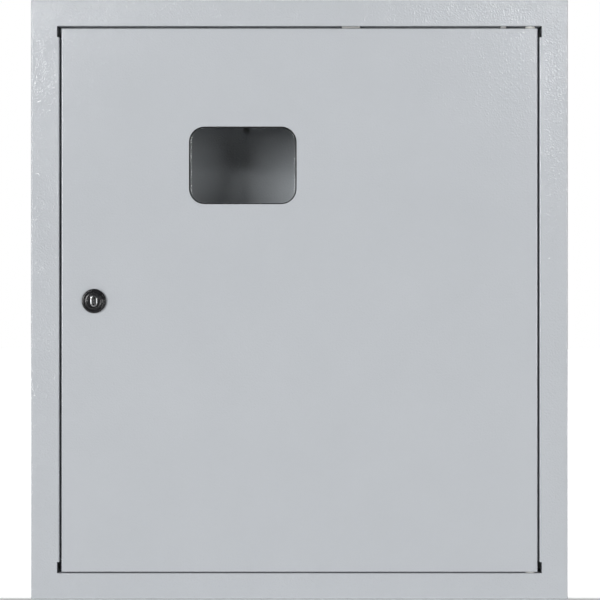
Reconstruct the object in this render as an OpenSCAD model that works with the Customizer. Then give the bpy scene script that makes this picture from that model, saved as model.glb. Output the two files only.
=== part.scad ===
// Recessed steel metering cabinet: a box set into a wall niche, a folded frame that
// covers the edge of the niche, and a pin-hinged door with a window and a cam lock.
//
// X runs to the right, Z up and Y back into the wall. The origin is the middle of the
// frame's rim, in the plane of the finished wall. Inside the modules Y is the depth
// behind the front face, and from_front() moves that face out of the wall by rim_d.

/* [Box in the wall] */
// Width of the box, which is the width of the niche
box_w = 440; // [430:1:560]
// Height of the box, which is the height of the niche
box_h = 500; // [500:1:640]
// Depth from the front face to the back of the box
box_d = 165; // [150:1:220]
// Thickness of the box's sheet
box_t = 1; // [0.8:0.1:1.5]
// Outer radius of the box's folded back edges
box_bend = 2; // [1.6:0.1:3]
// Height of the welding flanges on the end plates
end_flange = 12; // [8:0.5:20]

/* [Wall fixing] */
// Diameter of the wall anchor holes in the back
anchor_d = 8; // [5:0.5:12]
// Distance from the box's sides to the anchor holes
anchor_in_x = 70; // [60:1:100]
// Distance from the box's ends to the anchor holes
anchor_in_z = 30; // [26:1:60]

/* [Cable entries] */
// Diameter of the large knock-outs
knockout_large = 40; // [30:1:50]
// Diameter of the small knock-outs
knockout_small = 28; // [18:1:32]
// Distance between neighbouring knock-outs
knockout_pitch = 76; // [64:1:90]
// Number of knock-outs in each end plate
knockout_count = 5; // [1:2:5]
// Depth of the row of knock-outs behind the front face
knockout_y = 96; // [70:1:110]
// Width of the punched groove round a knock-out
knockout_slit = 0.8; // [0.6:0.1:1.2]
// Width of the bridges that hold a knock-out
knockout_bridge = 3; // [2:0.5:5]

/* [Frame] */
// How far the frame covers the wall at each side of the box
cover_side = 22; // [16:0.5:40]
// How far the frame covers the wall above and below the box
cover_end = 20; // [16:0.5:40]
// Depth of the frame's rim, from the front face to the wall
rim_d = 10; // [6:0.5:16]
// Thickness of the frame's sheet
frame_t = 1; // [0.8:0.1:1.5]
// Outer radius of the folds of frame and door
bend_r = 1.2; // [1:0.1:1.6]
// Clearance between the frame's lips and the box walls
frame_gap = 1.5; // [1.4:0.1:3]
// Depth from the front face to the front of the ledge
ledge_y = 18; // [18:0.5:24]
// Width of the ledge that the lock catches behind
ledge_w = 12; // [12:0.5:16]
// Length of the relief at each end of the upright lips
relief_len = 10; // [6:0.5:16]
// Width of the relief, from the edge of the opening
relief_w = 2; // [1.6:0.1:2.4]

/* [Door] */
// Gap between door and frame on the lock side
gap_lock = 2; // [1.5:0.1:3]
// Gap between door and frame on the hinge side
gap_hinge = 1.8; // [1.5:0.1:3]
// Gap between door and frame at the top
gap_top = 2; // [1.5:0.1:3]
// Gap between door and frame at the bottom
gap_bottom = 1; // [0.9:0.1:3]
// Thickness of the door's sheet
door_t = 1; // [0.8:0.1:1.2]
// Depth of the door's folded sides
door_d = 12; // [10:0.5:12]
// Width of the hem folded in at the back of those sides
hem_w = 8; // [5:0.5:9]
// Distance from the door's edge to the hinge axis
hinge_in = 6.2; // [5.5:0.1:6.5]
// Depth of the hinge axis behind the front face
hinge_y = 5; // [4.8:0.1:5.2]
// Diameter of the hinge pins
pin_d = 5; // [4:0.5:5]
// Angle that the door opens to in the drawing
door_open = 0; // [0:5:110]

/* [Window] */
// Width of the window cut-out
window_w = 97; // [70:1:120]
// Height of the window cut-out
window_h = 70; // [50:1:90]
// Corner radius of the window cut-out
window_r = 14; // [8:1:20]
// Place of the window's middle, from the middle of the box
window_x = -51; // [-60:1:-40]
// Height of the window's middle above the middle of the box
window_z = 121; // [110:1:130]
// Gap between the cut-out and the raised part of the pane
window_gap = 1; // [0.8:0.1:1.5]
// Thickness of the pane's plastic
pane_t = 2; // [1.5:0.1:2.5]
// Width of the pane's flange behind the door
pane_flange = 11; // [9:0.5:14]
// Thickness of the seal between door and pane
seal_t = 1; // [0.6:0.1:1.5]

/* [Lock] */
// Distance from the door's edge to the lock's axis
lock_in = 29.5; // [28:0.5:34]
// How far the lock sits below the middle of the door
lock_drop = 0.8; // [0:0.1:20]
// Diameter of the lock's head
lock_head_d = 22; // [20:0.5:26]
// Height of the lock's head in front of the door
lock_head_h = 3; // [2:0.1:4]
// Diameter of the lock's threaded barrel
lock_barrel_d = 18; // [17:0.5:18]
// Distance between the flats of the barrel
lock_flats = 16; // [15:0.5:16.5]
// Diameter of the lock's turning plug
plug_d = 12; // [11:0.5:13]
// Reach of the cam from the lock's axis
cam_reach = 30; // [27:0.5:32]
// Width of the cam
cam_w = 14; // [12:0.5:18]
// Thickness of the cam
cam_t = 2.5; // [2:0.5:3]
// Angle that the key turns the cam through in the drawing
key_turn = 0; // [0:5:90]

/* [Mounting frame] */
// Room between the uprights and the box's side walls
upright_side = 14; // [12:1:20]
// Room between the uprights' ends and the box's end plates
upright_end = 29; // [24:1:40]
// Width of the uprights
upright_w = 30; // [24:1:32]
// Thickness of the uprights
upright_t = 1.5; // [1.2:0.1:2.5]
// Depth of the uprights' face behind the front face
upright_y = 121; // [116:1:130]
// Distance between the holes in the uprights
hole_pitch = 25; // [25:1:26]
// Thickness of the meter plate
meter_plate_t = 1.5; // [1.2:0.1:2.5]
// Height of the meter plate
meter_plate_h = 220; // [210:1:225]
// Distance between the meter's two lower fixing slots
meter_dx = 150; // [130:1:160]
// Length of the meter's fixing slots
meter_slot = 26; // [16:1:30]

/* [Rails] */
// Depth of the rails' front face behind the front face
rail_y = 90; // [86:1:94]
// How far the upper rail's middle is below the meter plate's top
rail_up_drop = 75; // [68:1:80]
// Length of the upper rail
rail_up_len = 120; // [112:1:124]
// Number of modules on the upper rail
modules_up = 6; // [4:1:6]

/* [Inner cover] */
// Depth of the inner cover behind the front face
cover_y = 40; // [34:1:46]
// Clearance between the inner cover and the ledge
cover_gap = 2.5; // [1.5:0.5:6]
// Depth of the inner cover's folded edges
cover_d = 12; // [8:0.5:16]
// Thickness of the inner cover
cover_t = 1; // [0.8:0.1:1.5]
// Width of the opening for the meter
meter_open_w = 190; // [180:1:194]
// Height of the opening for the meter
meter_open_h = 180; // [160:1:184]
// How far the meter opening's middle is below the window's
meter_open_drop = 11; // [6:1:15]

/* [Bars] */
// Length of the neutral and earth bars
bar_len = 104; // [90:1:106]
// Number of clamp screws on each bar
bar_screws = 9; // [5:1:9]
// Height of the neutral bar above the meter plate's lower edge
neutral_up = 67; // [60:1:72]
// Height of the earth bar above the meter plate's lower edge
earth_up = 27; // [20:1:34]

/* [Hidden] */
$fn = 48;

// Colours
paint = [0.77, 0.79, 0.80];
zinc = [0.72, 0.73, 0.74];
brass = [0.78, 0.62, 0.28];
black = [0.08, 0.08, 0.09];
nylon = [0.85, 0.85, 0.82];
white = [0.92, 0.92, 0.91];
blue = [0.10, 0.30, 0.65];
green = [0.15, 0.50, 0.20];
clear = [0.80, 0.85, 0.88, 0.35];

// Overshoot of a cutting tool past the face that it cuts
cut = 1;
// Clearance round a shaft in a hole that holds it, and round a screw in its hole
fit = 0.02;
screw_gap = 0.25;
// Running clearance of a turning part, and the least gap between moving parts
run = 0.05;
air = 0.3;

// Box, inside
box_in_w = box_w - 2 * box_t;
box_in_h = box_h - 2 * box_t;
back_y = box_d - box_t;
anchor_dx = box_w - 2 * anchor_in_x;
anchor_dz = box_h - 2 * anchor_in_z;

// Frame
flange_w = box_w + 2 * cover_side;
flange_h = box_h + 2 * cover_end;
lip_w = box_in_w - 2 * frame_gap;
lip_h = box_in_h - 2 * frame_gap;
opening_w = lip_w - 2 * frame_t;
opening_h = lip_h - 2 * frame_t;
clear_w = opening_w - 2 * ledge_w;
clear_h = opening_h - 2 * ledge_w;
frame_back_y = ledge_y + frame_t;
end_flange_y = frame_back_y + 2 * frame_gap;

// Screws that hold the frame, and the ears that they screw into
ear_t = 1.5;
ear_h = 30;
ear_len = 26;
ear_w = (box_in_w - clear_w) / 2 - 1;
ear_x = opening_w / 2 - ledge_w / 2;
ear_down = 76.5;
ear_z = opening_h / 2 - ear_down;
m4_d = 4;
m4_head_d = 8;
m4_head_h = 2.2;
frame_screw_len = 12;

// Door
door_left = -opening_w / 2 + gap_lock;
door_right = opening_w / 2 - gap_hinge;
door_top = opening_h / 2 - gap_top;
door_bottom = -opening_h / 2 + gap_bottom;
door_w = door_right - door_left;
door_h = door_top - door_bottom;
door_x = (door_left + door_right) / 2;
door_z = (door_top + door_bottom) / 2;
hem_slit = 0.6;

// Hinge
hinge_x = door_right - hinge_in;
pin_head_d = 8;
pin_head_t = 0.8;
pin_in = 9;
bush_wall = 1;
bush_flange_d = 9;
bush_in = 4;

// Buffers in the top gap: distance of the middle from the hinge axis, and width
buffers = [[162, 16.5], [24.5, 5]];
buffer_d = 8;
buffer_y = 1.6;

// Window
pane_w = window_w - 2 * window_gap;
pane_h = window_h - 2 * window_gap;
pane_r = window_r - window_gap;
pane_front = 0.4;
pane_back = door_t + seal_t + pane_t;
pane_out_w = window_w + 2 * pane_flange;
pane_out_h = window_h + 2 * pane_flange;
pane_out_r = 8;
pane_rib_x = 19.3;
pane_rib_w = 5.8;
seal_lap = 5;
stud3_d = 3;
stud3_len = 7;
stud3_dx = pane_out_w - pane_flange;
stud3_dz = pane_out_h - pane_flange;
nut3_af = 5.5;
nut3_h = 2.4;

// Lock
lock_x = door_left + lock_in;
lock_z = door_z - lock_drop;
barrel_out = 1;
lock_back_y = frame_back_y + barrel_out;
lock_rim = 1.4;
lock_collar = 1.2;
lock_groove = 0.9;
plug_recess = 0.8;
plug_y = plug_recess - lock_head_h;
core_w = 6;
core_h = 10;
core_out = 0.5;
key_depth = 14;
keyway_w = 1.3;
keyway_h = 7.6;
keyway_step = 0.45;
keyway_lap = 0.5;
plug_square = 7;
lock_nut_af = 22;
lock_nut_t = 3;
lock_washer_d = 24;
lock_washer_t = 1;
lock_washer_notch = [3, 2.5];
cam_y = lock_back_y + air;
cam_corner = 3;
cam_nut_af = 8;
cam_nut_h = 4;

// Fasteners and uprights
m5_d = 5;
m5_head_d = 9.5;
m5_head_h = 2.8;
thread_out = 4;
m6_d = 6;
m6_af = 10;
m6_nut_h = 5;
m6_washer_d = 12;
m6_washer_t = 1.6;
post_d = 8;
post_room = 1;
knob_d = 12;
upright_x = box_in_w / 2 - upright_side - upright_w / 2;
upright_len = box_in_h - 2 * upright_end;
// Rows of holes above and below the middle of an upright: the last takes the welded stud
rows = floor((upright_len - hole_pitch) / 2 / hole_pitch);
stud_z = rows * hole_pitch;
stud_front_y = upright_y - m6_washer_t - m6_nut_h - thread_out;

// Meter plate
plate_y = upright_y - meter_plate_t;
plate_w = 2 * upright_x + upright_w;
plate_margin = 10;
plate_top = (rows - 1) * hole_pitch + plate_margin;
plate_low = plate_top - meter_plate_h;
plate_screws_z = [(rows - 1) * hole_pitch, hole_pitch * ceil((plate_low + plate_margin) / hole_pitch)];
meter_screw_d = 5.5;
meter_top_down = 12;
meter_low_up = 30;
meter_row = 50;
meter_top_z = plate_top - meter_top_down;
meter_low_z = plate_low + meter_low_up;
meter_mid_z = meter_low_z + meter_row;

// Rails
rail_h = 35;
rail_web = 27;
rail_d = 7.5;
rail_t = 1;
rail_slot_l = 15;
rail_slot_w = 6.2;
rail_pitch = 25;
rail_end = 10;
rail_up_screw_x = 1.5 * rail_pitch;
rail_up_x = upright_x - post_d / 2 - post_room - rail_up_len / 2;
rail_up_z = plate_top - rail_up_drop;
rail_low_z = -(rows - 2) * hole_pitch;
rail_low_len = 2 * (upright_x + rail_end);
spacer_af = 8;
module_w = 18;
module_slot_h = 46;
modules_low = 2 * floor((upright_x - knob_d / 2 - post_room) / module_w);

// Inner cover
cover_w = clear_w - 2 * cover_gap;
cover_h = clear_h - 2 * cover_gap;
cover_back = cover_y + cover_t;
meter_open_z = window_z - meter_open_drop;
post_z = [(rows - 2) * hole_pitch, -(rows - 1) * hole_pitch];
knob_h = 5;
knob_rib_d = 2;
knob_slot = [1.2, 1.5];
cover_screw_len = 9;
tap_spare = 2;
blank_rim = 2.5;
blank_t = 1.2;
blank_skirt = 5;
blank_fit = 0.3;
blank_groove = 0.5;
blank_hook = 0.6;

// Bars
bar_h = 9;
bar_t = 6;
bar_x = rail_up_x;
neutral_z = plate_low + neutral_up;
earth_z = plate_low + earth_up;
bar_off = 33;
bar_front_y = plate_y - bar_off;
bar_pitch = 9;
bar_hole_d = 4.6;
bar_screw_d = 5;
bar_screw_h = 3;
insulator_w = 14;
insulator_h = 18;
insulator_dx = bar_len - insulator_w;
foot_t = 4;
peg_d = 5;

// Earth studs
box_earth_in = 100;
box_earth_up = 35;
door_earth_in = 29.7;
door_earth_up = 40.5;
box_earth_x = box_earth_in - box_w / 2;
box_earth_z = box_earth_up - box_h / 2;
door_earth_x = door_right - door_earth_in;
door_earth_z = door_bottom + door_earth_up;
earth_stud_len = 16;

// ---------------------------------------------------------------- helpers

// Moves a piece from depths behind the front face into the object's own frame
module from_front() translate([0, -rim_d, 0]) children();

// A flat outline in X and Z, given thickness from depth y0 to depth y1
module sheet(y0, y1) translate([0, y1, 0]) rotate([90, 0, 0]) linear_extrude(y1 - y0) children();

// A block between two opposite corners
module block(low, high) translate(low) cube(high - low);

// A round bar along Y, from depth y0 to depth y1
module rod(d, y0, y1, sides = 0) {
    translate([0, y0, 0]) rotate([-90, 0, 0]) cylinder(d = d, h = y1 - y0, $fn = sides > 0 ? sides : $fn);
}

// A rectangle with round corners
module round_rect(w, h, r) {
    square([w, h - 2 * r], center = true);
    square([w - 2 * r, h], center = true);
    for (sx = [-1, 1], sz = [-1, 1]) translate([sx * (w / 2 - r), sz * (h / 2 - r)]) circle(r = r);
}

// A slot with round ends, along X
module slot_outline(l, w) {
    square([l - w, w], center = true);
    for (s = [-1, 1]) translate([s * (l - w) / 2, 0]) circle(d = w);
}

// A rectangle from depth 0 to depth d whose two front corners are round
module front_rounded(w, d, r) {
    translate([-w / 2, r]) square([w, d - r]);
    translate([-w / 2 + r, 0]) square([w - 2 * r, d]);
    for (s = [-1, 1]) translate([s * (w / 2 - r), r]) circle(r = r);
}

// The outline of an opening from depth 0 to depth d, flared by a fold of radius r at the front
module front_flared(w, d, r) {
    translate([-w / 2, -cut]) square([w, d + cut]);
    difference() {
        translate([-w / 2 - r, -cut]) square([w + 2 * r, cut + r]);
        for (s = [-1, 1]) translate([s * (w / 2 + r), r]) circle(r = r);
    }
}

// A block whose outline in X and Y and in Z and Y is the same kind of profile
module folded_block(w, h) {
    intersection() {
        linear_extrude(h + 2 * cut + 2 * bend_r, center = true) children(0);
        rotate([90, 0, 90]) linear_extrude(w + 2 * cut + 2 * bend_r, center = true) rotate(-90) children(1);
    }
}

// A block with all its front edges rounded as a folded sheet's are
module rounded_block(w, h, d, r) {
    folded_block(w, h) {
        front_rounded(w, d, r);
        front_rounded(h, d, r);
    }
}

// A sheet folded back along its four edges
module folded_pan(w, h, d, t) {
    difference() {
        rounded_block(w, h, d, bend_r);
        translate([0, t, 0]) rounded_block(w - 2 * t, h - 2 * t, d, max(bend_r - t, 0.2));
    }
}

// A flat ring between two rectangles, from depth y0 to depth y1
module flat_ring(w, h, border, y0, y1) {
    sheet(y0, y1) difference() {
        square([w, h], center = true);
        square([w - 2 * border, h - 2 * border], center = true);
    }
}

// A pan-head screw with a cross recess, whose head stands in front of depth y
module pan_screw(d, head_d, head_h, y, len) {
    arm = head_d * 0.27;
    half = head_d * 0.06;
    floor_y = y - head_h * 0.4;
    difference() {
        union() {
            translate([0, y, 0]) rotate([90, 0, 0]) cylinder(d1 = head_d, d2 = head_d * 0.72, h = head_h);
            rod(d, y, y + len);
        }
        for (a = [0, 90]) rotate([0, a, 0]) block([-arm, y - head_h - cut, -half], [arm, floor_y, half]);
    }
}

// A hexagon nut in front of depth y, with its hole
module hex_nut(af, h, hole_d, y) {
    difference() {
        rod(af / cos(30), y - h, y, 6);
        rod(hole_d, y - h - cut, y + cut);
    }
}

// A flat washer in front of depth y
module washer(d, hole_d, t, y) {
    difference() {
        rod(d, y - t, y);
        rod(hole_d, y - t - cut, y + cut);
    }
}

// Copies at each corner of a rectangle, without turning or mirroring them
module at_corners(dx, dz) {
    for (sx = [-1, 1], sz = [-1, 1]) translate([sx * dx / 2, 0, sz * dz / 2]) children();
}

// ---------------------------------------------------------------- box

// The box seen from above, with round back corners: w wide, from depth y0 back to depth y1
module box_outline(w, y0, y1, r) {
    translate([0, y1]) mirror([0, 1]) front_rounded(w, y1 - y0, r);
}

// Back and two sides, folded from one sheet
module back_and_sides() {
    color(paint) from_front() difference() {
        linear_extrude(box_h, center = true) difference() {
            box_outline(box_w, frame_t, box_d, box_bend);
            box_outline(box_in_w, -cut, back_y, box_bend - box_t);
        }
        at_corners(anchor_dx, anchor_dz) rod(anchor_d, back_y - cut, box_d + cut);
    }
}

// A knock-out's punched groove, crossed by three bridges
module knockout_groove(d) {
    difference() {
        cylinder(d = d, h = box_t + 2 * cut, center = true);
        cylinder(d = d - 2 * knockout_slit, h = box_t + 4 * cut, center = true);
        for (a = [90, 210, 330]) rotate(a)
            block([0, -knockout_bridge / 2, -box_t - 2 * cut], [d, knockout_bridge / 2, box_t + 2 * cut]);
    }
}

// An end plate with a flange folded in at its sides and back, drawn as the top one
module end_plate() {
    difference() {
        union() {
            translate([0, 0, box_h / 2 - box_t]) linear_extrude(box_t)
                box_outline(box_in_w, frame_t, back_y, box_bend - box_t);
            translate([0, 0, box_h / 2 - end_flange]) linear_extrude(end_flange) difference() {
                box_outline(box_in_w, end_flange_y, back_y, box_bend - box_t);
                translate([0, (back_y - box_t) / 2])
                    square([box_in_w - 2 * box_t, back_y - box_t], center = true);
            }
        }
        for (i = [0 : knockout_count - 1]) let (k = i - (knockout_count - 1) / 2)
            translate([k * knockout_pitch, knockout_y, (box_h - box_t) / 2])
                knockout_groove(abs(k) % 2 == 0 ? knockout_large : knockout_small);
    }
}

module top_plate() color(paint) from_front() end_plate();

module bottom_plate() color(paint) from_front() mirror([0, 0, 1]) end_plate();

// Threaded studs welded to the back, which carry the uprights
module upright_studs() {
    color(zinc) from_front() at_corners(2 * upright_x, 2 * stud_z) rod(m6_d, stud_front_y, back_y);
}

// Angles welded inside the side walls, tapped for the frame's screws
module fixing_ears() {
    color(paint) from_front() for (sx = [-1, 1], sz = [-1, 1]) translate([0, 0, sz * ear_z]) difference() {
        union() {
            translate([sx * (box_in_w - ear_t) / 2, 0, 0]) sheet(frame_back_y, frame_back_y + ear_len)
                square([ear_t, ear_h], center = true);
            translate([sx * (box_in_w - ear_w) / 2, 0, 0]) sheet(frame_back_y, frame_back_y + ear_t)
                square([ear_w, ear_h], center = true);
        }
        translate([sx * ear_x, 0, 0]) rod(m4_d + 2 * fit, frame_back_y - cut, frame_back_y + ear_t + cut);
    }
}

// Nut and washer of a stud, seated in front of depth y
module nut_and_washer(y) {
    washer(m6_washer_d, m6_d + 2 * screw_gap, m6_washer_t, y);
    hex_nut(m6_af, m6_nut_h, m6_d + 2 * fit, y - m6_washer_t);
}

module at_box_earth() from_front() translate([box_earth_x, 0, box_earth_z]) children();

module box_earth_stud() color(zinc) at_box_earth() rod(m6_d, back_y - earth_stud_len, back_y);

module box_earth_nuts() color(zinc) at_box_earth() nut_and_washer(back_y);

// ---------------------------------------------------------------- frame

// Front flange with its rim, lips and ledge, folded from one sheet
module front_frame() {
    color(paint) from_front() difference() {
        union() {
            folded_pan(flange_w, flange_h, rim_d, frame_t);
            sheet(frame_t / 2, frame_back_y) square([lip_w, lip_h], center = true);
        }
        folded_block(opening_w, opening_h) {
            front_flared(opening_w, ledge_y, bend_r);
            front_flared(opening_h, ledge_y, bend_r);
        }
        sheet(-cut, frame_back_y + cut) square([clear_w, clear_h], center = true);
        // the upright lips stop short of the corners
        at_corners(opening_w, opening_h - relief_len)
            sheet(-cut, ledge_y) square([2 * relief_w, relief_len], center = true);
        for (sz = [-1, 1]) translate([hinge_x, hinge_y, sz * (opening_h + frame_t) / 2])
            cylinder(d = pin_d + 2 * fit, h = frame_t + 2 * cut, center = true);
        at_corners(2 * ear_x, 2 * ear_z) rod(m4_d + 2 * screw_gap, ledge_y - cut, frame_back_y + cut);
    }
}

module frame_screws() {
    color(zinc) from_front() at_corners(2 * ear_x, 2 * ear_z)
        pan_screw(m4_d, m4_head_d, m4_head_h, ledge_y, frame_screw_len);
}

// A pin riveted through a lip of the frame, drawn as the top one. dz is the height of the lip's door side.
module hinge_pin(dz) {
    translate([hinge_x, hinge_y, dz - pin_in]) cylinder(d = pin_d, h = pin_in + frame_t + pin_head_t);
    translate([hinge_x, hinge_y, dz + frame_t]) cylinder(d = pin_head_d, h = pin_head_t);
}

module hinge_pin_top() color(zinc) from_front() hinge_pin(opening_h / 2);

module hinge_pin_bottom() color(zinc) from_front() mirror([0, 0, 1]) hinge_pin(opening_h / 2);

// Self-adhesive pads under the frame's top lip, which keep the door from rattling
module door_buffers() {
    color(nylon) from_front() for (b = buffers)
        translate([hinge_x - b[0] - b[1] / 2, buffer_y, door_top + air])
            cube([b[1], buffer_d, gap_top - air]);
}

// ---------------------------------------------------------------- mounting frame

// A channel that stands on the back wall, with a row of holes in its face
module upright() {
    difference() {
        linear_extrude(upright_len, center = true) difference() {
            translate([-upright_w / 2, upright_y]) square([upright_w, back_y - upright_y]);
            translate([-upright_w / 2 + upright_t, upright_y + upright_t])
                square([upright_w - 2 * upright_t, back_y - upright_y]);
        }
        for (k = [-rows : rows]) translate([0, 0, k * hole_pitch]) {
            d = abs(k) == rows ? m6_d : m5_d;
            rod(d + 2 * screw_gap, upright_y - cut, upright_y + upright_t + cut);
        }
    }
}

module upright_left() color(zinc) from_front() translate([-upright_x, 0, 0]) upright();

module upright_right() color(zinc) from_front() translate([upright_x, 0, 0]) upright();

module upright_nuts() {
    color(zinc) from_front() at_corners(2 * upright_x, 2 * stud_z) nut_and_washer(upright_y);
}

// Plate that carries the meter, the upper rail and the bars
module meter_plate() {
    color(paint) from_front() sheet(plate_y, upright_y) difference() {
        translate([-plate_w / 2, plate_low]) square([plate_w, meter_plate_h]);
        for (sx = [-1, 1], z = concat(plate_screws_z, [post_z[0]])) translate([sx * upright_x, z])
            circle(d = m5_d + 2 * screw_gap);
        translate([window_x, meter_top_z - meter_slot / 4]) rotate(90)
            slot_outline(meter_slot / 2, meter_screw_d);
        for (sx = [-1, 1], z = [meter_low_z, meter_mid_z]) translate([window_x + sx * meter_dx / 2, z])
            slot_outline(meter_slot, meter_screw_d);
        for (sx = [-1, 1]) {
            translate([rail_up_x + sx * rail_up_screw_x, rail_up_z]) circle(d = m5_d + 2 * screw_gap);
            for (z = [neutral_z, earth_z]) translate([bar_x + sx * insulator_dx / 2, z])
                circle(d = peg_d + 2 * fit);
        }
    }
}

module meter_plate_screws() {
    color(zinc) from_front() for (sx = [-1, 1], z = plate_screws_z) translate([sx * upright_x, 0, z])
        pan_screw(m5_d, m5_head_d, m5_head_h, plate_y, meter_plate_t + upright_t + thread_out);
}

// ---------------------------------------------------------------- rails

// A top-hat rail along X, with a row of slots in its web, counted inwards from the screws
module rail(len, screw_x) {
    difference() {
        rotate([90, 0, 90]) linear_extrude(len, center = true) difference() {
            union() {
                translate([0, -rail_h / 2]) square([rail_t, rail_h]);
                translate([0, -rail_web / 2]) square([rail_d, rail_web]);
            }
            translate([-cut, -rail_web / 2 + rail_t]) square([rail_d - rail_t + cut, rail_web - 2 * rail_t]);
        }
        for (s = [-1, 1], x = [screw_x : -rail_pitch : rail_slot_l / 2]) translate([s * x, 0, 0])
            sheet(rail_d - rail_t - cut, rail_d + cut) slot_outline(rail_slot_l, rail_slot_w);
    }
}

module rail_lower() {
    color(zinc) from_front() translate([0, rail_y, rail_low_z]) rail(rail_low_len, upright_x);
}

module rail_upper() {
    color(zinc) from_front() translate([rail_up_x, rail_y, rail_up_z]) rail(rail_up_len, rail_up_screw_x);
}

// Copies at each rail screw: the lower rail's stand on the uprights, the upper rail's on the plate
module at_rail_screws() {
    for (sx = [-1, 1]) {
        translate([sx * upright_x, 0, rail_low_z]) children(0);
        translate([rail_up_x + sx * rail_up_screw_x, 0, rail_up_z]) children(1);
    }
}

// A hexagonal spacer behind a rail, with a tapped hole
module rail_spacer(y1) {
    difference() {
        rod(spacer_af / cos(30), rail_y + rail_d, y1, 6);
        rod(m5_d + 2 * fit, rail_y + rail_d - cut, y1 + cut);
    }
}

module rail_spacers() {
    color(zinc) from_front() at_rail_screws() {
        rail_spacer(upright_y);
        rail_spacer(plate_y);
    }
}

module rail_screws() {
    web_y = rail_y + rail_d - rail_t;
    color(zinc) from_front() at_rail_screws() {
        pan_screw(m5_d, m5_head_d, m5_head_h, web_y, upright_y + upright_t - web_y);
        pan_screw(m5_d, m5_head_d, m5_head_h, web_y, upright_y - web_y);
    }
}

// ---------------------------------------------------------------- bars

// Copies along a bar, one for each clamp screw
module along_bar() {
    first_x = bar_x - (bar_screws - 1) / 2 * bar_pitch;
    for (i = [0 : bar_screws - 1]) translate([first_x + i * bar_pitch, 0, 0]) children();
}

// A clamping bar with a wire hole under each screw
module terminal_bar() {
    difference() {
        translate([bar_x, 0, 0])
            sheet(bar_front_y, bar_front_y + bar_t) square([bar_len, bar_h], center = true);
        along_bar() translate([0, bar_front_y + bar_t / 2, 0])
            cylinder(d = bar_hole_d, h = bar_h + 2 * cut, center = true);
    }
}

// The screws' heads, with a slot for the driver
module terminal_screws() {
    top = bar_front_y - bar_screw_h;
    along_bar() difference() {
        rod(bar_screw_d, top, bar_front_y);
        sheet(top - cut, top + bar_screw_h * 0.4) square([2 * bar_screw_d, bar_screw_d * 0.2], center = true);
    }
}

// The two posts that hold a bar off the plate, waisted, with a peg that snaps into the plate
module insulators() {
    base_y = bar_front_y + bar_t;
    for (s = [-1, 1]) translate([bar_x + s * insulator_dx / 2, 0, 0]) {
        sheet(base_y, base_y + foot_t) square([insulator_w, bar_h], center = true);
        rod(bar_h, base_y, plate_y);
        sheet(plate_y - foot_t, plate_y) square([insulator_w, insulator_h], center = true);
        rod(peg_d, plate_y - foot_t, upright_y + 1);
    }
}

module neutral_bar() color(brass) from_front() translate([0, 0, neutral_z]) terminal_bar();

module neutral_screws() color(zinc) from_front() translate([0, 0, neutral_z]) terminal_screws();

module neutral_insulators() color(blue) from_front() translate([0, 0, neutral_z]) insulators();

module earth_bar() color(brass) from_front() translate([0, 0, earth_z]) terminal_bar();

module earth_screws() color(zinc) from_front() translate([0, 0, earth_z]) terminal_screws();

module earth_insulators() color(green) from_front() translate([0, 0, earth_z]) insulators();

// ---------------------------------------------------------------- inner cover

module inner_cover() {
    color(paint) from_front() difference() {
        translate([0, cover_y, 0]) folded_pan(cover_w, cover_h, cover_d, cover_t);
        sheet(cover_y - cut, cover_back + cut) {
            translate([window_x, meter_open_z]) square([meter_open_w, meter_open_h], center = true);
            translate([0, rail_low_z]) square([modules_low * module_w, module_slot_h], center = true);
            translate([rail_up_x, rail_up_z]) square([modules_up * module_w, module_slot_h], center = true);
        }
        for (sx = [-1, 1], z = post_z) translate([sx * upright_x, 0, z])
            rod(m5_d + 2 * screw_gap, cover_y - cut, cover_back + cut);
    }
}

// Round posts between the uprights and the inner cover, each with a threaded foot
module cover_posts() {
    color(zinc) from_front() for (sx = [-1, 1], z = post_z) translate([sx * upright_x, 0, z]) difference() {
        base_y = z > plate_low ? plate_y : upright_y;
        union() {
            rod(post_d, cover_back, base_y);
            rod(m5_d, base_y - cut, upright_y + upright_t + thread_out);
        }
        rod(m5_d + 2 * fit, cover_back - cut, cover_back + cover_screw_len + tap_spare);
    }
}

// Ribbed knobs that hold the inner cover
module cover_screws() {
    color(black) from_front() for (sx = [-1, 1], z = post_z) translate([sx * upright_x, 0, z]) {
        difference() {
            rod(knob_d, cover_y - knob_h, cover_y);
            for (a = [0 : 30 : 330]) rotate([0, a, 0]) translate([(knob_d + knob_rib_d * 0.4) / 2, 0, 0])
                rod(knob_rib_d, cover_y - knob_h - cut, cover_y + cut);
            sheet(cover_y - knob_h - cut, cover_y - knob_h + knob_slot[1])
                square([knob_d + cut, knob_slot[0]], center = true);
        }
        rod(m5_d, cover_y, cover_back + cover_screw_len);
    }
}

// A blanking strip of n modules in a slot of the inner cover, scored between the modules
module blank(n) {
    w = n * module_w;
    skirt_w = w - 2 * blank_fit;
    skirt_h = module_slot_h - 2 * blank_fit;
    front_y = cover_y - blank_t;
    difference() {
        union() {
            sheet(front_y, cover_y) square([skirt_w, module_slot_h + 2 * blank_rim], center = true);
            sheet(front_y, cover_y + blank_skirt) square([skirt_w, skirt_h], center = true);
            // hooks that catch behind the cover
            sheet(cover_back + blank_fit, cover_y + blank_skirt)
                square([module_w, module_slot_h + 2 * blank_hook], center = true);
        }
        sheet(cover_y + blank_t / 2, cover_y + blank_skirt + cut)
            square([skirt_w - 2 * blank_t, skirt_h - 2 * blank_t], center = true);
        for (i = [1 : n - 1]) translate([i * module_w - w / 2, 0, 0])
            sheet(front_y - cut, front_y + blank_groove)
                square([blank_groove, 2 * module_slot_h], center = true);
    }
}

module blank_left() {
    color(white) from_front() translate([-modules_low * module_w / 4, 0, rail_low_z]) blank(modules_low / 2);
}

module blank_right() {
    color(white) from_front() translate([modules_low * module_w / 4, 0, rail_low_z]) blank(modules_low / 2);
}

module blank_upper() {
    color(white) from_front() translate([rail_up_x, 0, rail_up_z]) blank(modules_up);
}

// ---------------------------------------------------------------- door

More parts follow.
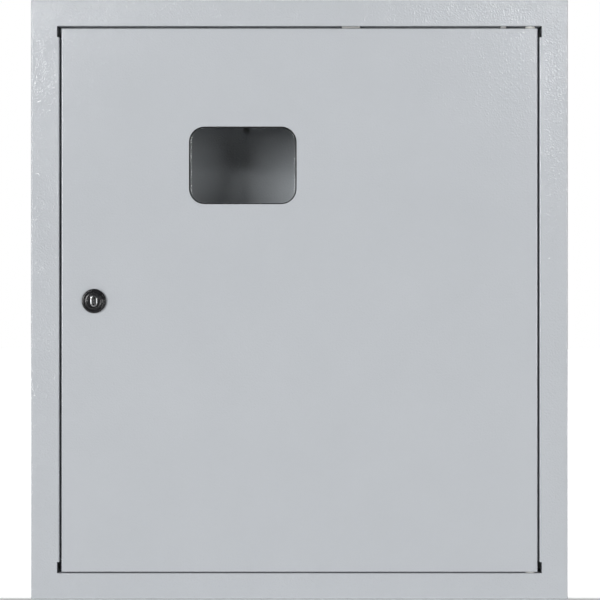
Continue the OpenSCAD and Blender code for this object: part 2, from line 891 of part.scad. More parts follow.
// Turns the door and all that it carries about the hinge axis
module on_door() {
    translate([hinge_x, hinge_y - rim_d, 0]) rotate(door_open) translate([-hinge_x, -hinge_y, 0]) children();
}

// Turns the plug and its cam about the lock's axis
module on_lock() {
    on_door() translate([lock_x, 0, lock_z]) rotate([0, key_turn, 0]) children();
}

// The barrel's outline: round with two flats
module barrel_outline(grow) {
    intersection() {
        circle(d = lock_barrel_d + 2 * grow);
        square([lock_flats + 2 * grow, 2 * lock_barrel_d], center = true);
    }
}

// Door leaf: a pan with a hem all round, slit at the corners
module door_panel() {
    color(paint) on_door() difference() {
        translate([door_x, 0, door_z]) union() {
            folded_pan(door_w, door_h, door_d, door_t);
            flat_ring(door_w - door_t, door_h - door_t, hem_w, door_d - door_t, door_d);
        }
        for (sx = [-1, 1], sz = [-1, 1])
            translate([door_x + sx * (door_w / 2 - door_t), door_d, door_z + sz * (door_h / 2 - door_t)])
                rotate([0, sx * sz * 45, 0])
                    sheet(-door_t - cut / 2, cut / 2) square([hem_slit, 4 * hem_w], center = true);
        translate([window_x, 0, window_z]) sheet(-cut, door_t + cut) round_rect(window_w, window_h, window_r);
        translate([lock_x, 0, lock_z]) sheet(-cut, door_t + cut) barrel_outline(screw_gap);
        for (z = [door_bottom, door_top]) translate([hinge_x, hinge_y, z])
            cylinder(r = pin_d / 2 + run + bush_wall + fit, h = 2 * door_t + 2 * cut, center = true);
    }
}

// Rubber seal between the door and the pane's flange
module window_seal() {
    color(black) on_door() translate([window_x, 0, window_z]) sheet(door_t, door_t + seal_t) difference() {
        round_rect(window_w + 2 * seal_lap, window_h + 2 * seal_lap, window_r + seal_lap);
        round_rect(pane_w + 2 * fit, pane_h + 2 * fit, pane_r);
    }
}

// Clear pane: a raised middle that fills the cut-out, and a flange behind the door
module window_pane() {
    flange_y = door_t + seal_t;
    color(clear) on_door() translate([window_x, 0, window_z]) difference() {
        union() {
            sheet(flange_y, pane_back) round_rect(pane_out_w, pane_out_h, pane_out_r);
            sheet(pane_front, flange_y) round_rect(pane_w, pane_h, pane_r);
            for (sx = [-1, 1], sz = [-1, 1]) translate([sx * pane_rib_x - pane_rib_w / 2, pane_front,
                sz > 0 ? pane_h / 2 - cut : -window_h / 2 + run])
                cube([pane_rib_w, door_t - pane_front, window_gap + cut - run]);
        }
        sheet(pane_front + pane_t, pane_back + cut)
            round_rect(pane_w - 2 * pane_t, pane_h - 2 * pane_t, pane_r - pane_t);
        at_corners(stud3_dx, stud3_dz) rod(stud3_d + 2 * screw_gap, flange_y - cut, pane_back + cut);
    }
}

// Studs welded behind the door, one at each corner of the pane
module window_studs() {
    color(zinc) on_door() translate([window_x, 0, window_z])
        at_corners(stud3_dx, stud3_dz) rod(stud3_d, door_t, door_t + stud3_len);
}

module window_nuts() {
    color(zinc) on_door() translate([window_x, 0, window_z])
        at_corners(stud3_dx, stud3_dz) hex_nut(nut3_af, nut3_h, stud3_d + 2 * fit, pane_back + nut3_h);
}

// A flanged nylon bush in the door's fold. z is the fold's outer face, gap the room up to the frame's lip.
module hinge_bush(z, gap) {
    bore = pin_d / 2 + run;
    top = gap - air / 2;
    foot = -door_t - bush_in;
    translate([hinge_x, hinge_y, z]) rotate_extrude() {
        translate([bore, foot]) square([bush_wall, top - foot]);
        translate([bore, 0]) square([bush_flange_d / 2 - bore, top]);
    }
}

module hinge_bush_top() color(nylon) on_door() hinge_bush(door_top, gap_top);

module hinge_bush_bottom() color(nylon) on_door() mirror([0, 0, 1]) hinge_bush(-door_bottom, gap_bottom);

module at_door_earth() on_door() translate([door_earth_x, door_t, door_earth_z]) children();

module door_earth_stud() color(zinc) at_door_earth() rod(m6_d, 0, earth_stud_len);

module door_earth_nuts() color(zinc) at_door_earth() mirror([0, 1, 0]) nut_and_washer(0);

// ---------------------------------------------------------------- lock

// The head's half profile: a domed edge, a groove, and a raised collar round the plug
module lock_head_profile() {
    edge = lock_head_d / 2;
    difference() {
        union() {
            square([edge, lock_head_h - lock_rim]);
            square([edge - lock_rim, lock_head_h]);
            translate([edge - lock_rim, lock_head_h - lock_rim]) circle(r = lock_rim);
        }
        translate([plug_d / 2 + lock_collar, lock_head_h - lock_groove])
            square([edge - lock_rim - lock_collar - plug_d / 2, lock_head_h]);
    }
}

// Head and threaded barrel, bored for the plug
module lock_housing() {
    color(black) on_door() translate([lock_x, 0, lock_z]) difference() {
        union() {
            rotate([90, 0, 0]) rotate_extrude() lock_head_profile();
            sheet(0, lock_back_y) barrel_outline(0);
        }
        rod(plug_d + 2 * run, -lock_head_h - cut, lock_back_y + cut);
    }
}

// Washer under the nut, with four notches
module lock_washer() {
    color(zinc) on_door() translate([lock_x, 0, lock_z]) sheet(door_t, door_t + lock_washer_t) difference() {
        circle(d = lock_washer_d);
        barrel_outline(screw_gap);
        for (a = [45 : 90 : 315]) rotate(a) translate([lock_washer_d / 2, 0])
            square(lock_washer_notch, center = true);
    }
}

module lock_nut() {
    color(zinc) on_door() translate([lock_x, door_t + lock_washer_t + lock_nut_t, lock_z])
        hex_nut(lock_nut_af, lock_nut_t, lock_barrel_d + 2 * fit, 0);
}

// The keyhole: a tall narrow slot in two halves that are set off sideways
module keyway() {
    for (s = [-1, 1]) translate([s * keyway_step, s * (keyway_h / 2 - keyway_lap) / 2])
        square([keyway_w, keyway_h / 2 + keyway_lap], center = true);
}

// Turning plug, squared at the back for the cam and threaded beyond it
module lock_plug() {
    square_y = lock_back_y + air / 2;
    color(black) on_lock() difference() {
        union() {
            rod(plug_d, plug_y, square_y);
            sheet(square_y - cut, cam_y + cam_t) square(plug_square, center = true);
            rod(m5_d, cam_y, cam_y + cam_t + cam_nut_h + thread_out / 2);
        }
        sheet(plug_y - cut, plug_y + key_depth) core_outline(fit);
    }
}

// The core's outline: a tall slot with round ends
module core_outline(grow) {
    rotate(90) slot_outline(core_h + 2 * grow, core_w + 2 * grow);
}

// Bright core in the plug, cut for the key
module lock_core() {
    color(zinc) on_lock() sheet(plug_y - core_out, plug_y + key_depth - run) difference() {
        core_outline(0);
        keyway();
    }
}

// Flat cam on the plug's square: it hangs down when open, and reaches behind the ledge when locked
module lock_cam() {
    color(zinc) on_lock() sheet(cam_y, cam_y + cam_t) difference() {
        union() {
            circle(d = cam_w);
            translate([0, -cam_reach / 2]) round_rect(cam_w, cam_reach, cam_corner);
        }
        square(plug_square + 2 * fit, center = true);
    }
}

module lock_cam_nut() {
    color(zinc) on_lock() hex_nut(cam_nut_af, cam_nut_h, m5_d + 2 * fit, cam_y + cam_t + cam_nut_h);
}

// ---------------------------------------------------------------- all pieces

back_and_sides();
top_plate();
bottom_plate();
upright_studs();
fixing_ears();
box_earth_stud();
box_earth_nuts();
front_frame();
frame_screws();
hinge_pin_top();
hinge_pin_bottom();
door_buffers();
upright_left();
upright_right();
upright_nuts();
meter_plate();
meter_plate_screws();
rail_lower();
rail_upper();
rail_spacers();
rail_screws();
neutral_bar();
neutral_insulators();
neutral_screws();
earth_bar();
earth_insulators();
earth_screws();
inner_cover();
cover_posts();
cover_screws();
blank_left();
blank_right();
blank_upper();
door_panel();
window_seal();
window_pane();
window_studs();
window_nuts();
hinge_bush_top();
hinge_bush_bottom();
door_earth_stud();
door_earth_nuts();
lock_housing();
lock_washer();
lock_nut();
lock_plug();
lock_core();
lock_cam();
lock_cam_nut();
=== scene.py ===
# %% [markdown]
# # A recessed steel meter cabinet
# The cabinet's construction is done: sheets, hinges, lock and fittings are imported as a frame that isn't
# moved. This lesson gives it its looks. It paints the folded steel, and models by hand the small pieces
# that a close look rewards: the window with its gasket, the cam lock, the screws, the knobs and the pads.
# Places are in metres, and the sizes of the small pieces in millimetres. X goes right, Z up, and Y into
# the wall.

# %% Load the frame
import math

import bmesh
import bpy
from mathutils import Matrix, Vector


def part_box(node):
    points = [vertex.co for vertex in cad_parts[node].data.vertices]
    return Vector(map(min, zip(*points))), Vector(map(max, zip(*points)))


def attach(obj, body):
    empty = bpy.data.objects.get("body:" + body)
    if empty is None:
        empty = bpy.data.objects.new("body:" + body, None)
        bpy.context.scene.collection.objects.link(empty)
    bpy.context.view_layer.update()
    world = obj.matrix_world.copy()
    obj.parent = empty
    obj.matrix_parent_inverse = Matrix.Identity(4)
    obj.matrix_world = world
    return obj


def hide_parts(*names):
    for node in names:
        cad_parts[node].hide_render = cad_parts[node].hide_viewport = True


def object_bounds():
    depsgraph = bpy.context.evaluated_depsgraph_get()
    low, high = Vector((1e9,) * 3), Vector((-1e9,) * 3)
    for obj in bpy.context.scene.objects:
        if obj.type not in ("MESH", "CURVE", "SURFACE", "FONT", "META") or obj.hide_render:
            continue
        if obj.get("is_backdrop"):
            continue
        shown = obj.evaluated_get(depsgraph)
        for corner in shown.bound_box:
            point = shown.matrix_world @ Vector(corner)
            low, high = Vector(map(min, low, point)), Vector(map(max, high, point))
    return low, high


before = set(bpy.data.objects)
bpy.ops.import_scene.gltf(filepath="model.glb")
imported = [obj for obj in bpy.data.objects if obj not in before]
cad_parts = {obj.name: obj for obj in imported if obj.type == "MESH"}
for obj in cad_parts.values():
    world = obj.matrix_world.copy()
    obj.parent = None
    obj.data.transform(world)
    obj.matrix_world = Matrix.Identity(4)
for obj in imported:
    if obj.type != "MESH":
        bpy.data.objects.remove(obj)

bpy.ops.object.select_all(action="DESELECT")
cad_low, cad_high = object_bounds()
print(f"{len(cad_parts)} parts, overall {[round(side, 3) for side in cad_high - cad_low]} m")

# %% [markdown]
# ## Camera and studio
# The cabinet is seen straight from the front through a long lens, so that its upright edges stay upright.
# It stands on a plain pale floor, in a dim grey room that is white only where it is seen as a background.
# A large soft box at the left does most of the lighting. A small one near the right lights the plate
# behind the window from the other side, so the shade between the two falls in the middle of the plate.
# Two small lamps stand high, just outside of what the flat face mirrors: only the wrinkles of the paint
# catch them, at the upper corners. The fifth lamp hangs over the back and whitens the floor.

# %% Camera
MM = 0.001
VIEW_WIDTH = 0.5407
VIEW_DISTANCE = 1.6
EYE_X, EYE_Z = 0.00054, -0.00035
FAR_CLIP = 30
front_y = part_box("front_frame")[0].y
eye = (EYE_X, front_y - VIEW_DISTANCE, EYE_Z)
bpy.ops.object.camera_add(location=eye, rotation=(math.pi / 2, 0, 0))
camera = bpy.context.object
camera.data.lens = camera.data.sensor_width * VIEW_DISTANCE / VIEW_WIDTH
camera.data.clip_end = FAR_CLIP
bpy.context.scene.camera = camera
bpy.context.scene.view_settings.view_transform = "Standard"
print(f"lens {camera.data.lens:.0f} mm")

# %% [markdown]
# The room is a world of two greys. Lamps and reflections meet the dark one, so the shades in the window
# and on the lock stay deep, and only the lens sees the white one. A white wall of planes could do the
# same, but it would light the cabinet as well.

# %% Room
ROOM_GREY, BACKGROUND_GREY = 0.04, 1.0
room = bpy.data.worlds.new("studio_room")
bpy.context.scene.world = room
room.use_nodes = True
room_nodes = room.node_tree.nodes
room_nodes.clear()
shades = [room_nodes.new("ShaderNodeBackground") for _ in range(2)]
for shade, grey in zip(shades, (ROOM_GREY, BACKGROUND_GREY)):
    shade.inputs["Color"].default_value = (grey, grey, grey, 1)
seen = room_nodes.new("ShaderNodeLightPath")
choice = room_nodes.new("ShaderNodeMixShader")
room_out = room_nodes.new("ShaderNodeOutputWorld")
room.node_tree.links.new(seen.outputs["Is Camera Ray"], choice.inputs["Fac"])
for place, shade in enumerate(shades, 1):
    room.node_tree.links.new(shade.outputs[0], choice.inputs[place])
room.node_tree.links.new(choice.outputs[0], room_out.inputs["Surface"])
print(f"room grey {ROOM_GREY}")

# %% [markdown]
# Each lamp is a rectangle of light. They all come from one function, which turns the lamp towards the
# point that it lights.

# %% Soft boxes


def soft_box(name, place, aim, width, height, watts):
    """A rectangular lamp at a place, turned towards the point that it lights."""
    bpy.ops.object.light_add(type="AREA", location=place)
    lamp = bpy.context.object
    lamp.name = name
    lamp.data.shape = "RECTANGLE"
    lamp.data.size, lamp.data.size_y = width, height
    lamp.data.energy = watts
    lamp.rotation_euler = (Vector(aim) - Vector(place)).to_track_quat("-Z", "Y").to_euler()
    print(f"{name}: {width} x {height} m, {watts} W")


soft_box("left_box", (-3.0, -5.0, 0.9), (0, 0, 0.9), 1.8, 2.3, 202)
soft_box("right_box", (1.55, -2.2, 0.06), (0, 0, 0.06), 0.6, 0.62, 15.5)
soft_box("left_glint", (-1.1, -4.0, 1.2), (0, 0, 0), 0.36, 0.36, 11)
soft_box("right_glint", (1.14, -4.0, 1.05), (0, 0, 0), 0.36, 0.36, 10)
soft_box("top_box", (0, 2.0, 2.0), (0, 1.6, -0.27), 3.0, 2.0, 40)

# %% [markdown]
# ## Writing materials as sums
# A material is a net of small nodes, tedious to wire by hand. The class below wraps one socket of the
# net. Written on it, a plain sum such as `1 - mask` adds the Math node that works it out, and `node` adds
# any other kind.

# %% Sums on sockets


class Wire:
    """A socket of a material's net. Python sums on it add Math nodes."""

    def __init__(self, tree, socket=None):
        self.tree = tree
        self.socket = socket

    def node(self, kind, settings=None, values=None, output=0):
        """Adds a node of a kind: first its settings, then the values or links of its sockets."""
        made = self.tree.nodes.new("ShaderNode" + kind)
        for name, value in (settings or {}).items():
            setattr(made, name, value)
        for place, value in (values or {}).items():
            if isinstance(value, Wire):
                self.tree.links.new(value.socket, made.inputs[place])
            else:
                made.inputs[place].default_value = value
        return Wire(self.tree, made.outputs[output])

    def math(self, operation, *values):
        """Adds a Math node on the values given. The wire itself isn't one of them."""
        return self.node("Math", {"operation": operation}, dict(enumerate(values)))

    def __add__(self, other):
        return self.math("ADD", self, other)

    def __sub__(self, other):
        return self.math("SUBTRACT", self, other)

    def __rsub__(self, other):
        return self.math("SUBTRACT", other, self)

    def __mul__(self, other):
        return self.math("MULTIPLY", self, other)

    def __pow__(self, other):
        return self.math("POWER", self, other)

    __radd__ = __add__
    __rmul__ = __mul__


def colour(shade):
    """A grey or a colour as the four numbers that a socket takes."""
    return (shade, shade, shade, 1) if isinstance(shade, (int, float)) else (*shade, 1)


# %% [markdown]
# Every finish reads its pattern from the place on the piece itself, in metres, so the grain keeps its
# real size on a screw and on the door alike.

# %% Helpers for finishes
MICRON = 1e-6


def new_finish(name):
    """An empty material, with a Wire to start its net from."""
    material = bpy.data.materials.new(name)
    material.use_nodes = True
    material.node_tree.nodes.clear()
    return material, Wire(material.node_tree)


def coated(start, values):
    """Ends a net in one Principled shader."""
    end_net(start, start.node("BsdfPrincipled", values=values))


def end_net(start, shader):
    """Links a shader to the material's output."""
    out = start.tree.nodes.new("ShaderNodeOutputMaterial")
    start.tree.links.new(shader.socket, out.inputs["Surface"])


def object_place(start, stretch=(1, 1, 1)):
    """The point on the piece, in metres, stretched for the pattern."""
    place = start.node("TexCoord", output="Object")
    return start.node("Mapping", values={"Vector": place, "Scale": stretch})


def noise(start, place, cell, detail=2, roughness=0.5):
    """Cloudy grain whose cells are about that size, in mm."""
    values = {"Vector": place, "Scale": 1 / (cell * MM), "Detail": detail, "Roughness": roughness}
    return start.node("TexNoise", values=values)


def relief(start, height, microns):
    """A bumped normal from a height between 0 and 1, that many microns deep."""
    values = {"Height": height, "Distance": microns * MICRON, "Strength": 1}
    return start.node("Bump", values=values)


def between(low_high, mask):
    """A value between two, by a mask."""
    return low_high[0] + (low_high[1] - low_high[0]) * mask


def tint(start, mask, low, high):
    """A colour between two, by a mask."""
    values = {0: mask, 6: colour(low), 7: colour(high)}
    return start.node("Mix", {"data_type": "RGBA"}, values, output=2)


print("helpers ready")

# %% [markdown]
# ## Finishes
# The sheet steel is powder coated: a thick baked plastic skin in light grey. It flows into a fine orange
# peel, low wrinkles a few millimetres apart that glint only where a lamp is nearly mirrored. So the
# colour hardly varies, and the look comes from a bump and from a gloss that changes a little. Noise
# folded at its middle value gives creases between rounded cells, as the peel has. The door gets a finer
# peel than the frame, because it was coated apart.

# %% Powder coat
PAINT_DARK, PAINT_LIGHT = (0.505, 0.528, 0.556), (0.53, 0.553, 0.582)
PEEL_CELL, PAINT_CLOUD_CELL, PAINT_GLOSS_DRIFT = 2.6, 60, 0.04


def powder_coat(name, microns, rough):
    """Baked paint with an orange peel that many microns deep."""
    finish, start = new_finish(name)
    place = object_place(start)
    peel = start.math("ABSOLUTE", noise(start, place, PEEL_CELL, 1, 0.4) * 2 - 1)
    cloud = noise(start, place, PAINT_CLOUD_CELL, 2)
    coated(start, {
        "Base Color": tint(start, cloud, PAINT_DARK, PAINT_LIGHT),
        "Roughness": rough + PAINT_GLOSS_DRIFT * cloud,
        "Normal": relief(start, peel, microns),
    })
    return finish


paint = powder_coat("light_grey_powder_coat", 200, 0.09)
door_paint = powder_coat("light_grey_powder_coat_fine", 100, 0.12)
print(paint.name, door_paint.name)

# %% [markdown]
# Screws, studs, rails and uprights are zinc plated. Bright zinc is a soft mirror with a bluish cast that
# drifts to straw yellow where the passivation is thicker. The rolled sheet has long faint streaks, which
# a noise stretched along one axis gives.

# %% Zinc plating
ZINC_BLUISH, ZINC_STRAW = (0.50, 0.55, 0.61), (0.68, 0.67, 0.60)
STREAK_CELL, ZINC_CLOUD_CELL = 1.2, 14
ZINC_ROUGHNESS = (0.24, 0.44)


def zinc_plating(name, stretch):
    """Bright zinc whose streaks run along the axis that is stretched least."""
    finish, start = new_finish(name)
    streak = noise(start, object_place(start, stretch), STREAK_CELL, 3, 0.6)
    cloud = noise(start, object_place(start), ZINC_CLOUD_CELL, 2)
    coated(start, {
        "Base Color": tint(start, cloud, ZINC_BLUISH, ZINC_STRAW),
        "Metallic": 1.0,
        "Roughness": between(ZINC_ROUGHNESS, streak),
        "Normal": relief(start, streak, 4),
    })
    return finish


zinc = zinc_plating("bright_zinc", (1, 1, 1))
zinc_along = zinc_plating("bright_zinc_rolled_along", (0.05, 1, 1))
zinc_upright = zinc_plating("bright_zinc_rolled_upright", (1, 1, 0.05))
print(zinc.name, zinc_along.name, zinc_upright.name)

# %% [markdown]
# The lock is die cast and coated glossy black, with a bright chromed core for the key. The bars are drawn
# brass.

# %% Metals of the lock and the bars


def plain_metal(name, dark, light, rough, cell, microns, metallic=1.0):
    """A metal whose colour and gloss drift over cells of that size."""
    finish, start = new_finish(name)
    cloud = noise(start, object_place(start), cell, 3)
    coated(start, {
        "Base Color": tint(start, cloud, dark, light),
        "Metallic": metallic,
        "Roughness": between(rough, cloud),
        "Normal": relief(start, cloud, microns),
    })
    return finish


chrome = plain_metal("bright_chrome", (0.74, 0.75, 0.77), (0.86, 0.86, 0.87), (0.05, 0.16), 1.5, 6)
brass = plain_metal("drawn_brass", (0.60, 0.44, 0.18), (0.78, 0.60, 0.27), (0.18, 0.4), 3, 4)
black_dark, black_light = (0.008, 0.008, 0.009), (0.018, 0.018, 0.02)
enamel = plain_metal("glossy_black_enamel", black_dark, black_light, (0.08, 0.2), 2.5, 8, 0.0)
print(chrome.name, brass.name, enamel.name)

# %% [markdown]
# Plastics and rubber are dyed right through, so their colour barely changes. Each has its own gloss and a
# fine grain from its mould. Foam is full of tiny open cells, which a Voronoi pattern gives.

# %% Plastics, rubber and foam
DYE_CELL, FOAM_CELL, FOAM_RELIEF = 8, 0.7, 90
FOAM_ROUGHNESS = (0.75, 0.95)


def moulded(name, dark, light, rough, grain, microns):
    """A moulded plastic with a grain of that size in mm."""
    finish, start = new_finish(name)
    place = object_place(start)
    cloud = noise(start, place, DYE_CELL, 2)
    texture = noise(start, place, grain, 2)
    coated(start, {
        "Base Color": tint(start, cloud, dark, light),
        "Roughness": between(rough, texture),
        "Normal": relief(start, texture, microns),
    })
    return finish


def foam(name, dark, light):
    """Foam with tiny open cells."""
    finish, start = new_finish(name)
    values = {"Vector": object_place(start), "Scale": 1 / (FOAM_CELL * MM)}
    cells = start.node("TexVoronoi", values=values)
    coated(start, {
        "Base Color": tint(start, cells, dark, light),
        "Roughness": between(FOAM_ROUGHNESS, cells),
        "Normal": relief(start, cells, FOAM_RELIEF),
    })
    return finish


white = moulded("satin_white_plastic", (0.76, 0.76, 0.74), (0.82, 0.82, 0.80), (0.28, 0.42), 0.5, 10)
black = moulded("matt_black_plastic", (0.016, 0.016, 0.017), (0.03, 0.03, 0.03), (0.4, 0.6), 0.4, 15)
blue = moulded("satin_blue_plastic", (0.012, 0.10, 0.40), (0.02, 0.14, 0.48), (0.28, 0.42), 0.5, 10)
green = moulded("satin_green_plastic", (0.012, 0.24, 0.05), (0.02, 0.31, 0.08), (0.28, 0.42), 0.5, 10)
nylon = moulded("natural_nylon", (0.54, 0.54, 0.51), (0.62, 0.62, 0.59), (0.35, 0.5), 0.6, 8)
rubber = foam("black_foam_rubber", (0.008, 0.008, 0.008), (0.022, 0.022, 0.022))
# The pads' foam is pale, but its colour here is set darker: painted shade for the gap between door and frame
# where the pads sit.
buffer = foam("pale_foam_painted_shade", (0.26, 0.26, 0.25), (0.36, 0.36, 0.35))
print(white.name, black.name, blue.name, green.name, nylon.name, rubber.name, buffer.name)

# %% [markdown]
# The pane is clear polycarbonate. Light has to reach the inside through it, so it is mixed from a
# see-through shader and a mirror, with more mirror where it is seen at a slant, instead of being glass
# that bends every ray.

# %% Clear plastic
RIPPLE_CELL, RIPPLE_DEPTH = 25, 20
LEAST_MIRROR, SLANT_MIRROR = 0.045, 0.9
PANE_TINT = (0.99, 0.995, 0.995, 1)


def clear_plastic():
    """A clear sheet with a faint ripple, which mirrors more at a slant."""
    finish, start = new_finish("clear_polycarbonate")
    ripple = relief(start, noise(start, object_place(start), RIPPLE_CELL, 1), RIPPLE_DEPTH)
    slant = start.node("LayerWeight", values={"Blend": 0.5, "Normal": ripple}, output="Facing")
    through = start.node("BsdfTransparent", values={"Color": PANE_TINT})
    values = {"Color": (1, 1, 1, 1), "Roughness": 0.06, "Normal": ripple}
    mirror = start.node("BsdfGlossy", values=values)
    share = LEAST_MIRROR + SLANT_MIRROR * slant ** 5
    end_net(start, start.node("MixShader", values={"Fac": share, 1: through, 2: mirror}))
    return finish


clear = clear_plastic()
print(clear.name)

# %% [markdown]
# ## Tools for modelling
# Each new piece starts as a primitive and is shaped in edit mode, as by hand. It is drawn lying on its
# back: its local Z points out of the door towards the viewer, and its sizes are in millimetres, as on a
# workshop drawing. When it is finished it is stood up, moved to its place, and that move is written into
# its mesh.

# %% Open, pick and close a piece
MERGE_DISTANCE, SOLID_MERGE = 1e-6, 1e-7
SHARP_ANGLE, SMOOTH_ANGLE = math.radians(40), math.radians(35)


def alone(piece):
    """Selects one piece and nothing else."""
    if bpy.context.mode != "OBJECT":
        bpy.ops.object.mode_set(mode="OBJECT")
    bpy.ops.object.select_all(action="DESELECT")
    piece.select_set(True)
    bpy.context.view_layer.objects.active = piece


def edit(piece, kind="FACE"):
    """Opens one piece in edit mode with all of it selected."""
    alone(piece)
    bpy.ops.object.mode_set(mode="EDIT")
    bpy.ops.mesh.select_mode(type=kind)
    bpy.ops.mesh.select_all(action="SELECT")


def pick(kind, test):
    """Selects the vertices, edges or faces whose middle and number pass a test."""
    bpy.ops.mesh.select_mode(type=kind)
    bpy.ops.mesh.select_all(action="DESELECT")
    shape = bmesh.from_edit_mesh(bpy.context.edit_object.data)
    for element in {"VERT": shape.verts, "EDGE": shape.edges, "FACE": shape.faces}[kind]:
        corners = [element] if kind == "VERT" else element.verts
        middle = sum((corner.co for corner in corners), Vector()) / len(corners) / MM
        if test(middle, element.index):
            element.select_set(True)
    shape.select_flush_mode()
    bmesh.update_edit_mesh(bpy.context.edit_object.data)


def modify(piece, kind, **settings):
    """Adds a modifier with these settings and applies it."""
    alone(piece)
    tool = piece.modifiers.new(kind.title(), kind)
    for name, value in settings.items():
        setattr(tool, name, value)
    bpy.ops.object.modifier_apply(modifier=tool.name)
    return piece


def soften(piece, width, segments=2):
    """Rounds every sharp edge by a width in mm."""
    rounding = {"width": width * MM, "segments": segments}
    return modify(piece, "BEVEL", limit_method="ANGLE", angle_limit=SHARP_ANGLE, **rounding)


def carve(piece, cutter, operation="DIFFERENCE"):
    """Cuts one shape by another, and clears the cutter away."""
    modify(piece, "BOOLEAN", object=cutter, operation=operation, solver="EXACT")
    bpy.data.objects.remove(cutter)
    return piece


def weld(*shapes):
    """Joins shapes into the first of them."""
    alone(shapes[0])
    for shape in shapes[1:]:
        shape.select_set(True)
    bpy.ops.object.join()
    return shapes[0]


# %% [markdown]
# Three ways to make a body cover all the pieces: turning for what is round, lofting for what has round
# corners, and blocks for what is cut square. Threads are turned as rings one pitch apart, which looks
# right at this size and stays a closed shape.

# %% Turn, loft and block out
THREAD_DEPTH = 0.55


def turned(rings, sides=48, closed=False):
    """Extrudes a circle from ring to ring, as on a lathe. Each is a radius and a height in mm."""
    radius, height = rings[0]
    fill = "NOTHING" if closed else "NGON"
    bpy.ops.mesh.primitive_circle_add(
        vertices=sides, radius=radius * MM, fill_type=fill, location=(0, 0, height * MM)
    )
    shape = bpy.context.object
    bpy.ops.object.transform_apply(location=True)
    edit(shape, "EDGE" if closed else "FACE")
    for wider, higher in rings[1:]:
        rise = (0, 0, (higher - height) * MM)
        bpy.ops.mesh.extrude_region_move(TRANSFORM_OT_translate={"value": rise})
        growth = wider / radius
        bpy.ops.transform.resize(value=(growth, growth, 1), center_override=(0, 0, higher * MM))
        radius, height = wider, higher
    return close_up(shape)


def close_up(shape):
    """Merges doubles, points the faces outwards and leaves edit mode."""
    bpy.ops.mesh.select_all(action="SELECT")
    bpy.ops.mesh.remove_doubles(threshold=MERGE_DISTANCE)
    bpy.ops.mesh.normals_make_consistent(inside=False)
    bpy.ops.object.mode_set(mode="OBJECT")
    return shape


def lofted(rings, closed=False, steps=10):
    """Bridges round-cornered rectangles, each a width, height, corner radius and Z in mm."""
    for width, height, radius, level in rings:
        bpy.ops.mesh.primitive_plane_add(size=MM)
        if bpy.context.mode == "OBJECT":
            shape = bpy.context.object
            edit(shape, "VERT")
        bpy.ops.transform.resize(value=(width, height, 1), center_override=(0, 0, 0))
        bpy.ops.transform.translate(value=(0, 0, level * MM))
        bpy.ops.mesh.bevel(offset=radius * MM, segments=steps, affect="VERTICES", clamp_overlap=False)
        bpy.ops.mesh.delete(type="ONLY_FACE")
    count = 4 * (steps + 1)
    last = len(rings) - 1
    pairs = [(i, i + 1) for i in range(last)] + ([(0, last)] if closed else [])
    for pair in pairs:
        pick("VERT", lambda middle, number: number // count in pair)
        bpy.ops.mesh.bridge_edge_loops()
    for end in () if closed else (0, last):
        pick("VERT", lambda middle, number: number // count == end)
        bpy.ops.mesh.edge_face_add()
    return close_up(shape)


def block(low, high):
    """A block between two corners in mm."""
    low, high = Vector(low) * MM, Vector(high) * MM
    bpy.ops.mesh.primitive_cube_add(size=1, location=(low + high) / 2)
    bpy.context.object.scale = high - low
    bpy.ops.object.transform_apply(location=True, scale=True)
    return bpy.context.object


def round_edge(middle, height, radius, start, end, steps=4):
    """Rings round a quarter of a round edge, from one angle in degrees to another."""
    angles = [math.radians(start + (end - start) * i / steps) for i in range(steps + 1)]
    return [(middle + radius * math.cos(a), height + radius * math.sin(a)) for a in angles]


def thread(radius, pitch, low, high):
    """Rings of a screw thread between two heights, cut to a fixed share of its pitch."""
    turns = int(abs(high - low) / pitch)
    step = (high - low) / turns
    root = radius - THREAD_DEPTH * pitch
    return [ring for i in range(turns) for ring in ((radius, low + i * step), (root, low + (i + 0.5) * step))]


# %% [markdown]
# Fasteners repeat, so one is modelled and a copy is set down at each place that the frame gives. Handing
# a piece in names it, paints it, and lets it ride with its body in place of the plain solid.

# %% Stand it up and hand it in


def solids_of(name):
    """The lowest and highest corner of each solid in a node, left to right and bottom to top."""
    shape = bmesh.new()
    shape.from_mesh(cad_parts[name].data)
    bmesh.ops.remove_doubles(shape, verts=shape.verts, dist=SOLID_MERGE)
    left, boxes = set(shape.verts), []
    while left:
        reached = [left.pop()]
        for corner in reached:
            near = {edge.other_vert(corner) for edge in corner.link_edges} & left
            left -= near
            reached.extend(near)
        axes = [[corner.co[axis] for corner in reached] for axis in range(3)]
        boxes.append([Vector(map(limit, axes)) for limit in (min, max)])
    shape.free()
    return sorted(boxes, key=lambda box: (round(box[0].x, 3), box[0].z))


def middle_at(box, y):
    """The point in the middle of a box's front, at some depth."""
    low, high = box
    return ((low.x + high.x) / 2, y, (low.z + high.z) / 2)


def turned_round(shape):
    """Points a shape the other way along its axis."""
    alone(shape)
    shape.rotation_euler.x = math.pi
    bpy.ops.object.transform_apply(rotation=True)
    return shape


def stand_up(shape, *places):
    """Turns a shape's Z towards the viewer and puts a copy of it at each place, as one piece."""
    alone(shape)
    shape.rotation_euler = (math.pi / 2, 0, 0)
    bpy.ops.object.transform_apply(rotation=True)
    copies = []
    for place in places[1:]:
        alone(shape)
        bpy.ops.object.duplicate()
        bpy.context.object.location = place
        copies.append(bpy.context.object)
    shape.location = places[0]
    weld(shape, *copies)
    bpy.ops.object.transform_apply(location=True)
    return shape


def hand_in(shape, name, body, finish, slot, *stands_for):
    """Names a finished piece, paints it, and lets it ride in place of CAD nodes."""
    alone(shape)
    bpy.ops.object.shade_smooth_by_angle(angle=SMOOTH_ANGLE)
    modify(shape, "WEIGHTED_NORMAL", keep_sharp=True)
    shape.name = shape.data.name = name
    shape.data.materials.clear()
    shape.data.materials.append(finish)
    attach(shape, body)
    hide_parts(*stands_for)
    print(f"{name}: {len(shape.data.polygons)} faces")


print("modelling tools ready")

